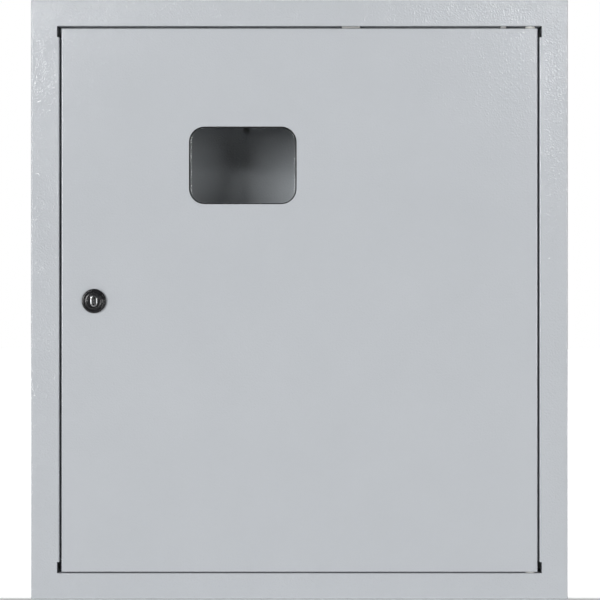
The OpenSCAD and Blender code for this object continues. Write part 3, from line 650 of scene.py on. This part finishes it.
# %% [markdown]
# ## The window
# Behind the cut-out in the door sits a clear moulded pane. Its middle is raised into the cut-out, its
# flange lies behind the sheet, and a ring of foam rubber is squeezed between them. Two pairs of little
# ribs centre it. All of these are round-cornered rectangles at different depths, so they are lofted:
# loops of edges bridged one to the next.

# %% Gasket
window_place = middle_at(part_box("window_pane"), front_y)
GASKET = [
    (107, 80, 19, -2), (107, 80, 19, -1.12), (106.7, 79.7, 18.8, -1.0), (97.8, 70.8, 14.4, -1.0),
    (97.0, 70.0, 14.0, -0.85), (96.3, 69.3, 13.6, -0.72), (95.5, 68.5, 13.2, -0.85), (95.1, 68.1, 13, -1.1),
    (95.1, 68.1, 13, -2),
]
gasket = stand_up(lofted(GASKET, closed=True), window_place)
hand_in(gasket, "window_gasket", "door", rubber, "seal_rubber", "window_seal")

# %% [markdown]
# The pane is one moulding. It is lofted over its raised middle, its flange and its hollow back in turn,
# then drilled for the four welded studs. After the drilling its doubled points are merged, so that no
# flat scraps stay behind.

# %% Pane
RAISED_MIDDLE = [
    (92.4, 65.4, 11.7, -0.40), (93.4, 66.4, 12.2, -0.48), (94.3, 67.3, 12.65, -0.75),
    (94.85, 67.85, 12.92, -1.15), (95, 68, 13, -1.6), (95.1, 68.1, 13.05, -1.85), (95.5, 68.5, 13.2, -2.0),
]
FLANGE = [(118.4, 91.4, 7.7, -2.0), (119, 92, 8, -2.3), (119, 92, 8, -3.7), (118.4, 91.4, 7.7, -4.0)]
HOLLOW_BACK = [(92.2, 65.2, 11.6, -4.0), (91, 64, 11, -3.5), (91, 64, 11, -2.9), (90.2, 63.2, 10.6, -2.4)]
pane = lofted(RAISED_MIDDLE + FLANGE + HOLLOW_BACK)
STUD_X, STUD_Z, STUD_HOLE = 54, 40.5, 3.5
for x in (-STUD_X, STUD_X):
    for z in (-STUD_Z, STUD_Z):
        drill = turned([(STUD_HOLE / 2, -5), (STUD_HOLE / 2, 0)], 24)
        drill.location = (x * MM, z * MM, 0)
        carve(pane, drill)
edit(pane)
close_up(pane)
RIB_X, RIB_W, RIB_NEAR, RIB_FAR = 19.3, 5.8, 33.6, 34.95
for x in (-RIB_X, RIB_X):
    for low, high in ((RIB_NEAR, RIB_FAR), (-RIB_FAR, -RIB_NEAR)):
        rib = soften(block((x - RIB_W / 2, low, -1.0), (x + RIB_W / 2, high, -0.4)), 0.12)
        weld(pane, rib)
pane = stand_up(pane, window_place)
hand_in(pane, "window_pane_moulded", "door", clear, "clear_plastic", "window_pane")

# %% [markdown]
# ## Screws, nuts and studs
# Fasteners are turned: a circle is extruded ring by ring, as a lathe would cut it. A pan head gets its
# cross recess from two tapered blades, and a nut its six flats from a short hexagonal bar.

# %% Pan-head screws
DOME = ((1, 0.08), (0.99, 0.28), (0.94, 0.52), (0.84, 0.76), (0.68, 0.93), (0.45, 1))
# shares of the head's diameter, of the head's height, and of the blade's own cross-section
HALF_BLADE_LONG, HALF_BLADE_WIDE = 0.29, 0.07
BLADE_BELOW, BLADE_ABOVE, BLADE_RAISED = 0.5, 2, 0.85
TIP_LONG, TIP_WIDE = 0.35, 0.6


def cross_recess(head_d, top):
    """The shape that a cross-head driver leaves: two tapered blades."""
    half_long, half_wide = HALF_BLADE_LONG * head_d, HALF_BLADE_WIDE * head_d
    low = (-half_long, -half_wide, -BLADE_BELOW * top)
    high = (half_long, half_wide, BLADE_ABOVE * top)
    blades = []
    for turn in (0, math.pi / 2):
        blade = block(low, high)
        edit(blade)
        pick("FACE", lambda middle, number: middle.z < -0.4 * top)
        bpy.ops.transform.resize(value=(TIP_LONG, TIP_WIDE, 1))
        bpy.ops.object.mode_set(mode="OBJECT")
        blade.rotation_euler.z = turn
        bpy.ops.object.transform_apply(rotation=True)
        blade.location.z = BLADE_RAISED * top * MM
        bpy.ops.object.transform_apply(location=True)
        blades.append(blade)
    return carve(blades[0], blades[1], "UNION")


def pan_screw(screw_d, head_d, head_h, length, pitch):
    """A machine screw with a domed head that stands on z 0."""
    shank, head = screw_d / 2, head_d / 2
    rings = [(shank - 0.5 * pitch, -length)] + thread(shank, pitch, -length + 0.4, -0.6)
    rings += [(shank, -0.3), (shank, 0), (head - 0.15, 0)]
    rings += [(head * wide, head_h * high) for wide, high in DOME]
    return carve(turned(rings, 32), cross_recess(head_d, head_h))


def seats(name, head_h):
    """Where the screws of a node stand: the middle of each, at the depth of its head's back."""
    return [middle_at(box, box[0].y + head_h * MM) for box in solids_of(name)]


# diameters of the shank and the head, height of the head, pitch
M4_PAN, M5_PAN = (4, 8, 2.2, 0.7), (5, 9.5, 2.8, 0.8)
for node, sizes in (("frame_screws", M4_PAN), ("meter_plate_screws", M5_PAN), ("rail_screws", M5_PAN)):
    screw_d, head_d, head_h, pitch = sizes
    length = min(high.y - low.y for low, high in solids_of(node)) / MM - head_h
    screws = stand_up(pan_screw(screw_d, head_d, head_h, length, pitch), *seats(node, head_h))
    hand_in(screws, node.replace("screws", "pan_screws"), "cabinet", zinc, "zinc_plating", node)

# %% [markdown]
# A nut could be a plain six-sided bar. Real ones have their corners turned off at both ends, so the bar
# is cut by a drum that leaves a round face, and then bored.

# %% Nuts
BORE_CHAMFER, END_CHAMFER, CUT = 0.35, 0.12, 0.01


def hex_nut(flats, height, hole_d):
    """A nut between z 0 and its height, its corners turned off at both ends and its hole chamfered."""
    corner = flats / math.sqrt(3)
    nut = turned([(corner, 0), (corner, height)], 6)
    chamfer, beyond = END_CHAMFER * height, corner + CUT
    drum = [(flats / 2, 0), (beyond, chamfer), (beyond, height - chamfer), (flats / 2, height)]
    carve(nut, turned(drum, 64), "INTERSECT")
    hole, mouth = hole_d / 2, hole_d / 2 + BORE_CHAMFER
    bore = [(mouth, -CUT), (hole, BORE_CHAMFER), (hole, height - BORE_CHAMFER), (mouth, height + CUT)]
    return carve(nut, turned(bore, 32))


def flat_washer(washer_d, hole_d, thick):
    """A stamped washer with its upper edge chamfered."""
    outer, hole, edge = washer_d / 2, hole_d / 2, 0.15
    rings = [(hole, 0), (outer, 0), (outer, thick - edge), (outer - edge, thick), (hole, thick), (hole, 0)]
    return turned(rings, closed=True)


M6_FLATS, M6_NUT, M6_HOLE, M6_WASHER, M6_WASHER_T, WASHER_PLAY = 10, 5, 6.04, 12, 1.6, 0.4


def nut_on_washer():
    """An M6 nut on its washer, which lies on z 0."""
    nut = hex_nut(M6_FLATS, M6_NUT, M6_HOLE)
    nut.location.z = M6_WASHER_T * MM
    bpy.ops.object.transform_apply(location=True)
    return weld(flat_washer(M6_WASHER, M6_HOLE + WASHER_PLAY, M6_WASHER_T), nut)


places = [middle_at(box, box[1].y) for box in solids_of("upright_nuts")]
upright_nuts = stand_up(nut_on_washer(), *places)
hand_in(upright_nuts, "upright_nuts_m6", "cabinet", zinc, "zinc_plating", "upright_nuts")

box_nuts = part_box("box_earth_nuts")
box_nut = stand_up(nut_on_washer(), middle_at(box_nuts, box_nuts[1].y))
hand_in(box_nut, "box_earth_nut_m6", "cabinet", zinc, "zinc_plating", "box_earth_nuts")
door_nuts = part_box("door_earth_nuts")
door_nut = stand_up(turned_round(nut_on_washer()), middle_at(door_nuts, door_nuts[0].y))
hand_in(door_nut, "door_earth_nut_m6", "door", zinc, "zinc_plating", "door_earth_nuts")

M3_FLATS, M3_NUT, M3_HOLE = 5.5, 2.4, 3.04
places = [middle_at(box, box[1].y) for box in solids_of("window_nuts")]
window_nuts = stand_up(hex_nut(M3_FLATS, M3_NUT, M3_HOLE), *places)
hand_in(window_nuts, "window_nuts_m3", "door", zinc, "zinc_plating", "window_nuts")

# %% [markdown]
# The studs are welded to the sheet at one end and threaded towards the other. Those in the box point
# forwards, and those on the door point back.

# %% Threaded studs


def stud(stud_d, length, threaded, pitch):
    """A stud from z 0, where it is welded, to its chamfered end, threaded over its last part."""
    shank = stud_d / 2
    rings = [(shank, 0), (shank, length - threaded - 0.4)]
    rings += thread(shank, pitch, length - threaded, length - 0.5 * pitch)
    return turned(rings + [(shank - 0.5 * pitch, length)], 24)


def stud_of(name, stud_d, threaded, pitch, forward=True):
    """The studs of a node, which point out of the box, or into it on the door."""
    boxes = solids_of(name)
    low, high = boxes[0]
    studs = stud(stud_d, (high.y - low.y) / MM, threaded, pitch)
    if not forward:
        turned_round(studs)
    return stand_up(studs, *[middle_at(box, box[1].y if forward else box[0].y) for box in boxes])


for node, size, body, sizes in (
    ("upright_studs", "_m6", "cabinet", (6, 20, 1.0)),
    ("box_earth_stud", "_m6", "cabinet", (6, 13, 1.0)),
    ("door_earth_stud", "_m6", "door", (6, 13, 1.0, False)),
    ("window_studs", "_m3", "door", (3, 5, 0.5, False)),
):
    hand_in(stud_of(node, *sizes), node + size, body, zinc, "zinc_plating", node)

# %% [markdown]
# ## The cam lock
# The lock's head is a turned black button with a rounded rim, a groove and a collar round the plug. Its
# barrel is threaded and has two flats, so that it can't turn in the door. In the plug sits the bright
# core with the keyway: a slot in two halves set off sideways, in which the ends of the wafers show.

# %% Lock head and barrel
lock_place = middle_at(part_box("lock_housing"), front_y)
BARREL_R, BARREL_END, BARREL_FLAT, BARREL_PITCH, BORE_R, LOCK_SIDES = 9, -20, 8, 1.0, 6.05, 64
COLLAR = [
    (BORE_R, 2.6), (6.12, 2.86), (6.3, 2.97), (6.6, 3.0), (7.0, 2.97), (7.35, 2.9),
    (7.7, 2.78), (8.0, 2.63), (8.25, 2.45), (8.42, 2.24),
]
GROOVE = [(8.65, 2.12), (8.9, 2.18), (9.1, 2.4), (9.25, 2.75)]
RIM = round_edge(9.6, 1.6, 1.4, 95, 0, 7) + [(11, 0.2), (10.85, 0), (BARREL_R, 0)]
BARREL = [(BARREL_R, -3.5)] + thread(BARREL_R, BARREL_PITCH, -4, BARREL_END + 0.5) + [(8.4, BARREL_END)]
bore_end = [(BORE_R, BARREL_END)]
head = turned(bore_end + COLLAR + GROOVE + RIM + BARREL + bore_end, LOCK_SIDES, closed=True)
edit(head)
for side in (-1, 1):
    pick("VERT", lambda middle, number: middle.x * side > BARREL_FLAT and middle.z < -0.1)
    bpy.ops.transform.resize(value=(0, 1, 1), center_override=(side * BARREL_FLAT * MM, 0, 0))
close_up(head)
hand_in(stand_up(head, lock_place), "lock_head", "door", enamel, "black_enamel", "lock_housing")

# %% [markdown]
# The plug turns in the head's bore. It gets a slot for the core, cut by a lofted shape a touch wider than
# the core, and behind the barrel a square for the cam and a threaded tail for its nut.

# %% Plug
PLUG_R, PLUG_FRONT, SQUARE, SQUARE_BACK, PLUG_END = 6, 2.2, 3.5, -22.8, -28.8
CORE_W, CORE_H, CORE_R, CORE_DEPTH, CORE_PLAY = 6, 10, 3.0, 14, 0.04
TAIL_R, TAIL_PITCH, IN_FRONT = 2.5, 0.8, 4
plug_rings = [(PLUG_R, -20.15), (PLUG_R, 1.95), (5.9, 2.12), (5.7, PLUG_FRONT), (5.3, 2.15), (3, 2.1)]
plug = turned(plug_rings, LOCK_SIDES)
slot = (CORE_W + CORE_PLAY, CORE_H + CORE_PLAY, 3.01)
carve(plug, lofted([(*slot, PLUG_FRONT - CORE_DEPTH), (*slot, IN_FRONT)]))
square = soften(block((-SQUARE, -SQUARE, SQUARE_BACK), (SQUARE, SQUARE, BARREL_END)), 0.3)
tail_thread = thread(TAIL_R, TAIL_PITCH, PLUG_END + 0.4, SQUARE_BACK - 0.4)
tail = turned([(2.1, PLUG_END)] + tail_thread + [(TAIL_R, SQUARE_BACK + 0.5)], 32)
plug = stand_up(weld(plug, square, tail), lock_place)
hand_in(plug, "lock_plug_turned", "lock", enamel, "black_enamel", "lock_plug")

# %% [markdown]
# The core is lofted with a rounded front. The keyway is cut in two halves set off sideways, and its mouth
# is opened out at the middle. Little rounded blocks inside it stand for the wafers.

# %% Core with its keyway
CORE_FRONT, KEY_W, KEY_H, KEY_STEP, KEY_OVERLAP, KEY_DEPTH = 2.7, 1.3, 7.6, 0.45, 0.5, -13
straight = [
    (CORE_W, CORE_H, CORE_R, level) for level in (PLUG_FRONT - CORE_DEPTH + 0.05, CORE_FRONT - 0.5)
]
rounded = [
    (CORE_W - less, CORE_H - less, radius, CORE_FRONT - drop)
    for less, radius, drop in ((0.15, 2.92, 0.22), (0.5, 2.75, 0.05), (1.1, 2.45, 0))
]
core = lofted(straight + rounded)
for side in (-1, 1):
    x, (low, high) = side * KEY_STEP, sorted((-KEY_OVERLAP * side, side * KEY_H / 2))
    carve(core, block((x - KEY_W / 2, low, KEY_DEPTH), (x + KEY_W / 2, high, IN_FRONT)))
MOUTH_X, MOUTH_Y, MOUTH_FLOOR = 1.7, 0.9, 1.9
carve(core, block((-MOUTH_X, -MOUTH_Y, MOUTH_FLOOR), (MOUTH_X, MOUTH_Y, IN_FRONT)))
WAFER_X, WAFER_HALF_T, WAFER_OFF = 1.2, 0.5, 1.2
for level, side in ((0.9, 1), (-1.1, -1), (-3.1, 1)):
    low = (-WAFER_X, side * WAFER_OFF - 1.0, level - WAFER_HALF_T)
    high = (WAFER_X, side * WAFER_OFF + 0.6, level + WAFER_HALF_T)
    weld(core, soften(block(low, high), 0.1, 1))
hand_in(stand_up(core, lock_place), "lock_key_core", "lock", chrome, "bright_chrome", "lock_core")

# %% [markdown]
# The cam is a pressed strip with one round end and one with small corners. It is drawn flat, its corners
# are rounded, and it is pulled up to its thickness. The round end stops 0.4 mm short of a half circle: at
# 0.01 mm short, the square hole cut after the edges were softened left nothing of the cam.

# %% Cam and nuts
cam_low, cam_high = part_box("lock_cam")
CAM_W, CAM_REACH, CAM_T = 14, 30, (cam_high.y - cam_low.y) / MM
CAM_CORNER, CAM_ROUND = 3, CAM_W / 2 - 0.4
HOLE = SQUARE + 0.02
bpy.ops.mesh.primitive_plane_add(size=MM)
cam = bpy.context.object
edit(cam, "VERT")
bpy.ops.transform.resize(value=(CAM_W, CAM_REACH + CAM_W / 2, 1), center_override=(0, 0, 0))
bpy.ops.transform.translate(value=(0, (CAM_W / 2 - CAM_REACH) / 2 * MM, 0))
for radius, end in ((CAM_ROUND, CAM_W / 2), (CAM_CORNER, -CAM_REACH)):
    pick("VERT", lambda middle, number: abs(middle.x) > CAM_W / 2 - 0.01 and abs(middle.y - end) < 0.1)
    bpy.ops.mesh.bevel(offset=radius * MM, segments=10, affect="VERTICES", clamp_overlap=False)
bpy.ops.mesh.select_all(action="SELECT")
bpy.ops.mesh.extrude_region_move(TRANSFORM_OT_translate={"value": (0, 0, CAM_T * MM)})
close_up(cam)
carve(soften(cam, 0.35, 3), block((-HOLE, -HOLE, -1), (HOLE, HOLE, 4)))
lock_x, _, lock_z = lock_place
cam = stand_up(cam, (lock_x, cam_high.y, lock_z))
hand_in(cam, "lock_cam_pressed", "lock", zinc, "zinc_plating", "lock_cam")
for node, body, flats, hole_d in (("lock_nut", "door", 22, 18.04), ("lock_cam_nut", "lock", 8, 5.04)):
    low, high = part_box(node)
    nut = stand_up(hex_nut(flats, (high.y - low.y) / MM, hole_d), (lock_x, high.y, lock_z))
    hand_in(nut, node + "_hex", body, zinc, "zinc_plating", node)

# %% [markdown]
# ## Knobs, hinges and pads
# The inner cover is held by four black knobs that turn by hand: ribbed round the edge, with a slot for a
# coin. The door turns on two riveted pins in flanged nylon bushes, and closes on two pads of pale foam.

# %% Ribbed knobs
KNOB_R, KNOB_H, VALLEY, COIN_SLOT = 6, 5, 0.9, 1.5
SHANK_R, SHANK_PITCH = 2.5, 0.8
bpy.ops.mesh.primitive_circle_add(vertices=48, radius=KNOB_R * MM, fill_type="NGON")
knob = bpy.context.object
edit(knob, "VERT")
pick("VERT", lambda middle, number: number % 4 == 0)
bpy.ops.transform.resize(value=(VALLEY, VALLEY, 1), center_override=(0, 0, 0))
bpy.ops.mesh.select_mode(type="FACE")
bpy.ops.mesh.select_all(action="SELECT")
for growth, rise in ((1, KNOB_H - 1.1), (0.985, 0.35), (0.94, 0.3), (0.86, 0.25), (0.7, 0.1)):
    bpy.ops.mesh.extrude_region_move(TRANSFORM_OT_translate={"value": (0, 0, rise * MM)})
    bpy.ops.transform.resize(value=(growth, growth, 1))
close_up(knob)
carve(knob, block((-KNOB_R - 1, -0.6, KNOB_H - COIN_SLOT), (KNOB_R + 1, 0.6, KNOB_H + 1)))
shank_end = max(high.y - low.y for low, high in solids_of("cover_screws")) / MM - KNOB_H
shank = [(2.1, -shank_end)] + thread(SHANK_R, SHANK_PITCH, -shank_end + 0.4, -1.6)
weld(knob, turned(shank + [(SHANK_R, -1.2), (SHANK_R, 0.2)], 32))
knobs = stand_up(knob, *seats("cover_screws", KNOB_H))
hand_in(knobs, "cover_knobs", "cabinet", black, "black_plastic", "cover_screws")

# %% [markdown]
# Pins and bushes are turned upright. The bottom ones are the top ones mirrored, so their rings are the
# same with the heights reversed.

# %% Hinge pins and bushes


def along_z(shape, place):
    """Puts a turned shape upright at a place, its Z left as it is."""
    alone(shape)
    shape.location = place
    bpy.ops.object.transform_apply(location=True)
    return shape


def pin_rings(length):
    """A pin from its chamfered tip to its riveted head."""
    neck = length - RIVET_T
    rings = [(1.9, 0), (PIN_R, 0.5), (PIN_R, neck), (RIVET_R - 0.1, neck), (RIVET_R, length - 0.6)]
    return rings + [(3.7, length - 0.3), (3.1, length - 0.1), (2.2, length)]


def bush_rings(height):
    """A bush: its sleeve, then its flange at the far end."""
    inside = [(BUSH_BORE, 0.2), (BUSH_BORE + 0.2, 0)]
    sleeve = [(BUSH_WALL - 0.2, 0), (BUSH_WALL, 0.3), (BUSH_WALL, SLEEVE), (BUSH_LIP - 0.1, SLEEVE)]
    flange = [(BUSH_LIP, SLEEVE + 0.12), (BUSH_LIP, height - 0.25), (BUSH_LIP - 0.2, height)]
    return inside + sleeve + flange + [(BUSH_BORE + 0.2, height), (BUSH_BORE, height - 0.2), (BUSH_BORE, 0.2)]


PIN_R, RIVET_R, RIVET_T = 2.5, 4, 0.8
BUSH_BORE, BUSH_WALL, BUSH_LIP, SLEEVE = 2.55, 3.55, 4.5, 5
for end, sign in (("top", 1), ("bottom", -1)):
    for rings_of, node, kind, body, finish, slot, hollow in (
        (pin_rings, "hinge_pin_", "riveted_", "cabinet", zinc, "zinc_plating", False),
        (bush_rings, "hinge_bush_", "flanged_", "door", nylon, "nylon", True),
    ):
        low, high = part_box(node + end)
        middle = (low + high) / 2
        rings = [(radius, sign * level) for radius, level in rings_of((high.z - low.z) / MM)]
        piece = along_z(turned(rings, 32, hollow), (middle.x, middle.y, low.z if sign > 0 else high.z))
        hand_in(piece, node + kind + end, body, finish, slot, node + end)

# %% [markdown]
# A foam pad is a soft block glued to the frame, which gives way when the door closes on it.

# %% Foam pads
pads = []
for low, high in solids_of("door_buffers"):
    pad = block(low / MM, high / MM)
    edit(pad)
    bpy.ops.mesh.subdivide(number_cuts=3)
    pads.append(soften(close_up(pad), 0.25, 3))
foam_pads = weld(*pads)
hand_in(foam_pads, "door_pads_foam", "cabinet", buffer, "buffer_foam", "door_buffers")

# %% [markdown]
# ## Floor
# The floor is plain and pale. It should be as white as the background where the two meet, and the lamps
# alone leave it grey, so it glows: fully behind the cabinet, and only faintly in front of it, where its
# light would lift the shades of the face.

# %% Floor
FLOOR_SIDE, FLOOR_GRAIN = 16, 300
LEAST_GLOW, FAR_GLOW, NEAR_GLOW = 0.05, 0.35, 0.1
FAR_RISE, FAR_START, NEAR_RISE = 0.4, 1, 0.12
EDGE_RISE, EDGE_GLOW = 60, 0.6
bpy.ops.mesh.primitive_plane_add(size=FLOOR_SIDE, location=(0, 0, cad_low.z))
floor = bpy.context.object
floor.name = "studio_floor"
floor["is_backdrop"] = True
floor_finish, start = new_finish("pale_floor")
spot = object_place(start)
away = start.node("VectorMath", {"operation": "LENGTH"}, {0: spot}, output="Value")
far = start.math("MINIMUM", away * FAR_RISE - FAR_START, FAR_GLOW)
depth = start.node("SeparateXYZ", values={0: spot}, output="Y")
front = start.math("MAXIMUM", far, depth * NEAR_RISE + NEAR_GLOW)
behind = depth * EDGE_RISE + EDGE_GLOW
glow = start.node("Clamp", values={"Value": start.math("MAXIMUM", front, behind)})
coated(start, {
    "Base Color": tint(start, noise(start, spot, FLOOR_GRAIN, 2), 0.80, 0.84),
    "Roughness": 0.9,
    "Emission Color": tint(start, glow, LEAST_GLOW, 1.0),
    "Emission Strength": 1.0,
})
floor.data.materials.append(floor_finish)
print(floor.name, "at", round(cad_low.z, 3))

# %% [markdown]
# The large folded parts keep their own shapes and only get a finish, chosen by the name of their
# material. Rails and uprights have their streaks along their length, and the door has its own coat.

# %% Dress the parts
FINISHES = {
    "grey_paint": paint, "zinc_plating": zinc, "bright_chrome": chrome, "brass_bar": brass,
    "black_enamel": enamel, "seal_rubber": rubber, "buffer_foam": buffer, "nylon": nylon,
    "white_plastic": white, "black_plastic": black, "blue_plastic": blue, "green_plastic": green,
    "clear_plastic": clear,
}
OWN_FINISH = {
    "rail_lower": zinc_along, "rail_upper": zinc_along,
    "upright_left": zinc_upright, "upright_right": zinc_upright,
    "door_panel": door_paint,
}
for name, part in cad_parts.items():
    for place in part.material_slots:
        place.material = OWN_FINISH.get(name) or FINISHES[place.material.name.split(".")[0]]
print(f"dressed {len(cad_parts)} parts")

# %% [markdown]
# The box of the dressed object is measured, and kept beside the box of the construction. The
# dressed object must fill the same box as the construction did.

# %% Measure the dressed object and finish
dressed_low, dressed_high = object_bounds()
sizes = {"cad": [list(cad_low), list(cad_high)], "visual": [list(dressed_low), list(dressed_high)]}
